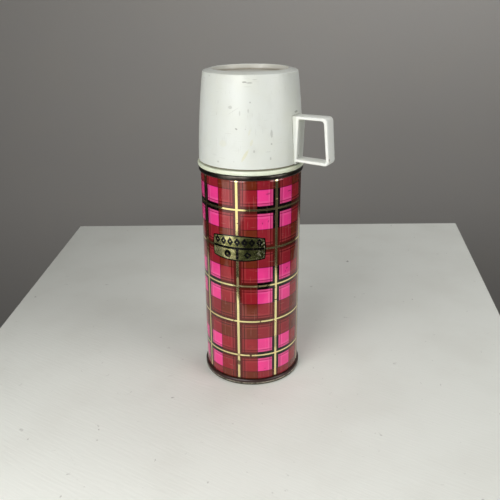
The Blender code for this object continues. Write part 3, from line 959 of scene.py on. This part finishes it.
def cup_shell():
    """Wall, foot ring and sunk top, threaded lip and ceiling."""
    thread_r = 31.4
    thread_top = 158.2
    rows = 26
    side_r = CUP_R - 0.02
    lip_top = CUP_BOTTOM + 0.6
    top_r = cup_radius(CUP_SHOULDER)
    top = rounded(
        [
            (0, RECESS_Z, 0),
            (RECESS_R, RECESS_Z, 0.9),
            (RECESS_R + 0.35, CUP_TOP, 0.4),
            (FOOT_RING_R + 0.1, CUP_TOP, 0.5),
            (top_r - 0.15, CUP_SHOULDER + 0.15, 0.9),
            (cup_radius(CURVE_TOP), CURVE_TOP, 0),
        ],
        closed=False,
    )
    levels = [CURVE_TOP - i * (CURVE_TOP - lip_top) / rows for i in range(1, rows + 1)]
    outside = [(cup_radius(z) - 0.02, z) for z in levels]
    lip = rounded(
        [
            (side_r, lip_top, 0),
            (side_r, CUP_BOTTOM, 0.35),
            (thread_r, CUP_BOTTOM, 0.35),
            (thread_r, thread_top, 0.8),
            (cup_radius(161) - CUP_WALL, 161, 0),
        ],
        closed=False,
        steps=COARSE_ARC,
    )[1:]
    lip = densified(lip, CUP_BOTTOM + 0.2, thread_top + 0.1)
    inside = [(cup_radius(z) - CUP_WALL, z) for z in (166, 172, 178, 184, 190, 195, CURVE_TOP)]
    ceiling_z = 199.6
    groove_z = 201.2  # under the foot ring
    ceiling = rounded(
        [
            (cup_radius(CURVE_TOP) - CUP_WALL, CURVE_TOP, 0),
            (top_r - CUP_WALL - 0.5, groove_z, 1.2),
            (RECESS_R + 1.9, groove_z, 0.6),
            (RECESS_R + 1.7, ceiling_z, 0.5),
            (0, ceiling_z, 0),
        ],
        closed=False,
        steps=COARSE_ARC,
    )[1:]
    outline = top + outside + lip + inside + ceiling

    threads = threaded((thread_r, -CUP_RIDGE, CUP_THREAD_Z, pi))
    return lathe("cup_moulding", outline, [WHITE], closed=False, shape=threads)


def cup_handle():
    """Square strap loop with a wedge-shaped strip on the wall, which runs down to the lip."""
    width, edge = 9.5, 0.6
    top, bottom, strap = 179.5, 151.9, 2.0
    top_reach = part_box("cup")[1].x / MM - 2.2
    low_reach = top_reach + 2.44
    outer_low = bottom - 0.6  # the lower bar falls a little towards its outer corner
    foot = CUP_BOTTOM + 0.06
    outer = rounded(
        [
            (cup_radius(top) - 1.2, top - 0.3, 0),
            (top_reach, top, 2.8),
            (low_reach, outer_low, 2.8),
            (34.1, bottom, 0.3),
            (33.95, foot, 0.2),
            (CUP_R - 1.2, foot, 0),
        ]
    )
    opening = rounded(
        [
            (35.4, top - strap, 0.9),
            (top_reach - strap, top - strap, 1.9),
            (low_reach - strap, outer_low + strap, 1.2),
            (34.5, bottom + 1.6, 0.6),
        ]
    )
    return plate("handle_loop", [outer, opening], width, edge, [WHITE])


dress(united(cup_shell(), cup_handle()), "cup", "white_plastic", "cup")


# ---- stopper


def stopper_plug():
    """Hollow threaded barrel with the flange of its head."""
    barrel_r = 14.2
    thread_r = 14.6
    thread_bottom = 147.0
    inside_r = barrel_r - 1.8
    floor_z = PLUG_BOTTOM + 2.0
    head_bottom = GASKET_TOP + GAP
    outline = rounded(
        [
            (0, PLUG_BOTTOM, 0),
            (barrel_r, PLUG_BOTTOM, 1.3),
            (barrel_r, thread_bottom, 0.3),
            (thread_r, thread_bottom + 0.6, 0.3),
            (thread_r, head_bottom, 0.3),
            (PLUG_HEAD_R - 0.4, head_bottom, 0.4),
            (PLUG_HEAD_R, PLUG_TOP, 0.4),
            (inside_r, PLUG_TOP, 0.3),
            (inside_r, floor_z, 0.5),
            (0, floor_z, 0),
        ],
        closed=False,
        steps=COARSE_ARC,
    )
    outline = densified(outline, thread_bottom, head_bottom)[:-1] + [outline[-1]]

    threads = threaded((thread_r, STOPPER_RIDGE, PLUG_THREAD_Z, 0))
    return lathe("stopper_barrel", outline, [STOPPER_RED], closed=False, shape=threads)


def stopper_lid():
    """Grip disc with flutes round its edge and a moulded ring on its domed top."""
    flutes = 12
    flute_depth = 0.6
    groove_z = LID_TOP - 0.5
    segments = 192
    outline = rounded(
        [
            (0, LID_BOTTOM, 0),
            (LID_R, LID_BOTTOM, 0.3),
            (LID_R, LID_TOP - 0.5, 0.7),
            (LID_R - 5.0, LID_TOP, 3.0),
            (12.6, LID_TOP, 0.2),
            (12.3, groove_z, 0.2),
            (11.4, groove_z, 0.2),
            (11.1, LID_TOP, 0.2),
            (0, LID_TOP, 0),
        ],
        closed=False,
        steps=COARSE_ARC,
    )

    def shape(r, z, angle, index):
        share = smooth((r - LID_R + 4.0) / 4.0)
        flute = smooth(0.5 - 0.9 * cos(flutes * (angle - radians(11.25))))
        return r - flute_depth * share * flute, z

    angles = [i * tau / segments for i in range(segments)]
    return lathe("stopper_grip", outline, [STOPPER_RED], closed=False, angles=angles, shape=shape)


stopper_ring = seal("stopper_seal_ring", 15.7, "stopper_gasket", 0.35, RUBBER)
dress(stopper_ring, "stopper_seal", "rubber", "stopper_gasket")
dress(stopper_plug(), "stopper", "stopper_plastic", "stopper_plug")
dress(stopper_lid(), "stopper", "stopper_plastic", "stopper_lid")


# ---- glass filler


def dome(radius, height, level, steps=16):
    """Points of a domed end, from its pole on the axis out to its widest ring."""
    angles = [step * pi / 2 / steps for step in range(steps + 1)]
    return [(radius * sin(a), level - height * cos(a)) for a in angles]


def shoulder(wide, narrow, bottom, top, steps=16):
    """Points of a smooth S from the body's radius up to the neck's."""
    parts = [step / steps for step in range(steps + 1)]
    radii = [narrow + (wide - narrow) * (1 + cos(pi * t)) / 2 for t in parts]
    return [(r, bottom + (top - bottom) * t) for r, t in zip(radii, parts)]


GLASS_WALL = 1.2
DOME_Z = 30.0  # where the domed ends start
OUTER_DOME = 20.0  # height of the outer one
INNER_NECK_R = 16.5
OUTER_NECK_R = 19.3
INNER_SHOULDER = (115, 129)  # bottom and top
OUTER_SHOULDER = (117, 132)


def glass_inner():
    """Inner wall of the filler, whose lip turns out over the outer wall."""
    neck_r = INNER_NECK_R
    height = DOME_Z - INNER_BOTTOM
    low, high = INNER_SHOULDER
    lip = rounded(
        [
            (neck_r, high, 0),
            (neck_r, INNER_TOP - 1.0, 0.3),
            (OUTER_NECK_R, INNER_TOP - 1.0, 0.45),
            (OUTER_NECK_R, INNER_TOP, 0.45),
            (neck_r - GLASS_WALL, INNER_TOP, 0.5),
            (neck_r - GLASS_WALL, high - 1, 0),
        ],
        closed=False,
        steps=COARSE_ARC,
    )
    outside = dome(INNER_R, height, DOME_Z) + shoulder(INNER_R, neck_r, low, high)[:-1] + lip
    inside = shoulder(INNER_R - GLASS_WALL, neck_r - GLASS_WALL, low, high - 1)[-2::-1]
    inside += dome(INNER_R - GLASS_WALL, height - GLASS_WALL, DOME_Z)[::-1]
    return lathe("glass_filler_inner", outside + inside, [GLASS], closed=False)


def glass_outer():
    """Outer wall of the filler, with the sealed tip under its domed end."""
    pole = DOME_Z - OUTER_DOME
    low, high = OUTER_SHOULDER
    tip = [(0, OUTER_BOTTOM, 0), (1.0, OUTER_BOTTOM + 0.1, 0.8), (1.6, pole - 0.4, 0)]
    outside = rounded(tip, closed=False)
    outside += dome(OUTER_R, OUTER_DOME, DOME_Z)[2:] + shoulder(OUTER_R, OUTER_NECK_R, low, high)
    outside += [(OUTER_NECK_R, OUTER_TOP), (OUTER_NECK_R - GLASS_WALL, OUTER_TOP)]
    inside = shoulder(OUTER_R - GLASS_WALL, OUTER_NECK_R - GLASS_WALL, low, high - 1)[::-1]
    inside += dome(OUTER_R - GLASS_WALL, OUTER_DOME - GLASS_WALL, DOME_Z)[::-1]
    return lathe("glass_filler_outer", outside + inside, [GLASS], closed=False)


dress(glass_inner(), "case", "silvered_glass", "glass_inner")
dress(glass_outer(), "case", "silvered_glass", "glass_outer")


# ---- CAD nodes that stay


def repaint(finish, *names):
    """Give CAD nodes a finish."""
    for name in names:
        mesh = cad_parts[name].data
        mesh.materials.clear()
        mesh.materials.append(finish)


repaint(RUBBER, "neck_gasket", "tip_protector", "base_cushion")
repaint(CARD, "base_pad")
repaint(FELT, "shoulder_cushion")
repaint(FOAM, "stopper_core")
repaint(MINERAL, *[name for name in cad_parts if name.startswith("spacer_pad")])


# ---- room


def placed(right, ahead, up):
    """A point of the frame from millimetres right, back and up from the flask in camera's view."""
    return Matrix.Rotation(radians(VIEW_TURN), 3, "Z") @ Vector((right, ahead, up)) * MM


def painted(name, color, roughness, grain, dirt):
    """Painted board: brush marks, a few scuffs and slightly uneven colour."""
    s = Surface(name, color, roughness)
    brush = s.noise(grain, 4.0, stretch=(9, 1, 1))
    patches = s.rise(s.noise(60.0, 4.0), 0.4, 0.7)
    scuffs = s.rise(s.noise(5.0, 5.0, shift=3.0, distortion=0.6), 0.68, 0.8)
    tone = s.mix(s.times(patches, 0.1), color, srgb(186, 180, 166))
    tone = s.mix(s.times(scuffs, dirt), tone, srgb(120, 116, 108))
    s.set(Base_Color=tone)
    s.bump(brush, 0.12)
    return s.material


def slab(name, corners, top, thick, finish):
    """A flat slab from its corners, with a slightly rounded edge."""
    bm = bmesh.new()
    face = bm.faces.new([bm.verts.new(placed(x, y, top) / MM) for x, y in corners])
    raise_faces(bm, [face], (0, 0, -thick))
    if thick > 2:
        bevel(bm, bm.edges[:], 1.2)
    obj = new_object(name, bm, [finish])
    return obj


def area_light(name, at, size_x, size_y, power, color, target=(0, 0, 100)):
    data = bpy.data.lights.new(name, "AREA")
    data.shape = "RECTANGLE"
    data.size, data.size_y = size_x * MM, size_y * MM
    data.energy = power
    data.color = color
    lamp = bpy.data.objects.new(name, data)
    bpy.context.scene.collection.objects.link(lamp)
    lamp.location = placed(*at)
    lamp.rotation_mode = "QUATERNION"
    lamp.rotation_quaternion = (placed(*target) - placed(*at)).to_track_quat("-Z", "Y")
    lamp.visible_camera = False
    return lamp


def polar(radius, degrees):
    """A place on the table from its distance and angle, 0 towards the camera, positive right."""
    return radius * sin(radians(degrees)), -radius * cos(radians(degrees))


def reflected_card(name, corners, up, value, glow=(0, 0, 0)):
    """A dark or glowing card at the table's level that only reflections see, as the room's ends:
    painted shade and painted light in reflections.
    """
    shine = {"Emission_Color": (*glow, 1), "Emission_Strength": float(any(glow))}
    s = Surface(name, (value, value, value, 1), 1.0, **shine)
    s.bump(s.noise(20.0), 0.1)
    card = slab(name, corners, up, 1.0, s.material)
    for ray in ("camera", "diffuse", "transmission", "shadow", "volume_scatter"):
        setattr(card, "visible_" + ray, False)


TABLE = [(-212, -700), (90, -700), (240, 289), (-201, 288)]
TABLE_THICK = 18
FAR = 1500  # where the cards end
WARM = (1.0, 0.99, 0.98)


def room():
    """Table, wall, the cards that give the tin its reflections, and the lights."""
    paint = painted("floor_paint", srgb(241, 243, 236), 0.62, 1.6, 0.6)
    slab("floor", TABLE, 0, TABLE_THICK, paint)
    grey = painted("wall_paint", srgb(176, 173, 169), 0.8, 3.0, 0.05)
    slab("backdrop", [(-2600, 640), (2600, 640), (2600, 650), (-2600, 650)], 1500, 2600, grey)

    front, back = -214, 300  # edges of the cards beside the table
    # Dark cards seen only in reflections: painted shade in the tin's reflections.
    cards = [
        ("reflected_shade_end", [(-FAR, -1600), (FAR, -1600), (FAR, -215), (-FAR, -215)], 0.015),
        ("reflected_shade_middle", [(-211, front), (166, front), (178, -136), (-208, -136)], 0.015),
        ("reflected_shade_left", [(-FAR, front), (-214, front), (-203, back), (-FAR, back)], 0.01),
        ("reflected_shade_right", [(176, front), (FAR, front), (FAR, back), (244, back)], 0.03),
        ("reflected_shade_back", [(-FAR, 301), (FAR, 301), (FAR, 632), (-FAR, 632)], 0.03),
    ]
    for name, corners, value in cards:
        reflected_card(name, corners, 4, value)
    # A glowing card, no lamp, seen only in reflections: a painted reflection of a window.
    window_glow = [(700, -66.8), (700, -39), (700, -11.1), (408, -11.1), (290, -66.8)]
    window_glow_points = [polar(radius, degrees) for radius, degrees in window_glow]
    reflected_card("reflected_window_glow", window_glow_points, 6, 0.0, glow=(1.6, 1.53, 1.48))

    area_light("window", (-420, -480, 400), 640, 1040, 2.15, WARM, target=(0, 0, 400))
    area_light("table_side", (-230, -420, 300), 300, 300, 1.7, WARM, target=(-40, -200, 0))
    area_light("front_right", (560, -340, 380), 400, 500, 2.4, WARM)
    area_light("back_fill", (380, 540, 760), 700, 700, 1.6, (0.97, 0.99, 1.0))
    area_light("wall_wash", (300, 440, 620), 1500, 260, 1.7, (1, 1, 1), target=(380, 640, 420))

    world = bpy.data.worlds.new("room_air")
    world.use_nodes = True
    world.node_tree.nodes["Background"].inputs["Color"].default_value = srgb(56, 56, 55)
    bpy.context.scene.world = world


def camera():
    data = bpy.data.cameras.new("camera")
    data.lens = LENS
    data.sensor_width = 36
    data.clip_start, data.clip_end = 0.01, 20
    cam = bpy.data.objects.new("camera", data)
    bpy.context.scene.collection.objects.link(cam)
    yaw, pitch, roll = radians(CAMERA_YAW), radians(CAMERA_PITCH), radians(CAMERA_ROLL)
    ahead = Vector((sin(yaw) * cos(pitch), cos(yaw) * cos(pitch), -sin(pitch)))
    level = Vector((cos(yaw), -sin(yaw), 0))
    above = level.cross(ahead)
    right = level * cos(roll) + above * sin(roll)
    up = above * cos(roll) - level * sin(roll)
    turn = Matrix.Rotation(radians(VIEW_TURN), 4, "Z")
    facing = Matrix((right, up, -ahead)).transposed().to_4x4()
    place = Matrix.Translation(Vector((0, -CAMERA_BACK, CAMERA_HEIGHT)) * MM)
    cam.matrix_world = turn @ place @ facing
    bpy.context.scene.camera = cam


room()
camera()
bpy.context.scene.view_settings.view_transform = "Standard"
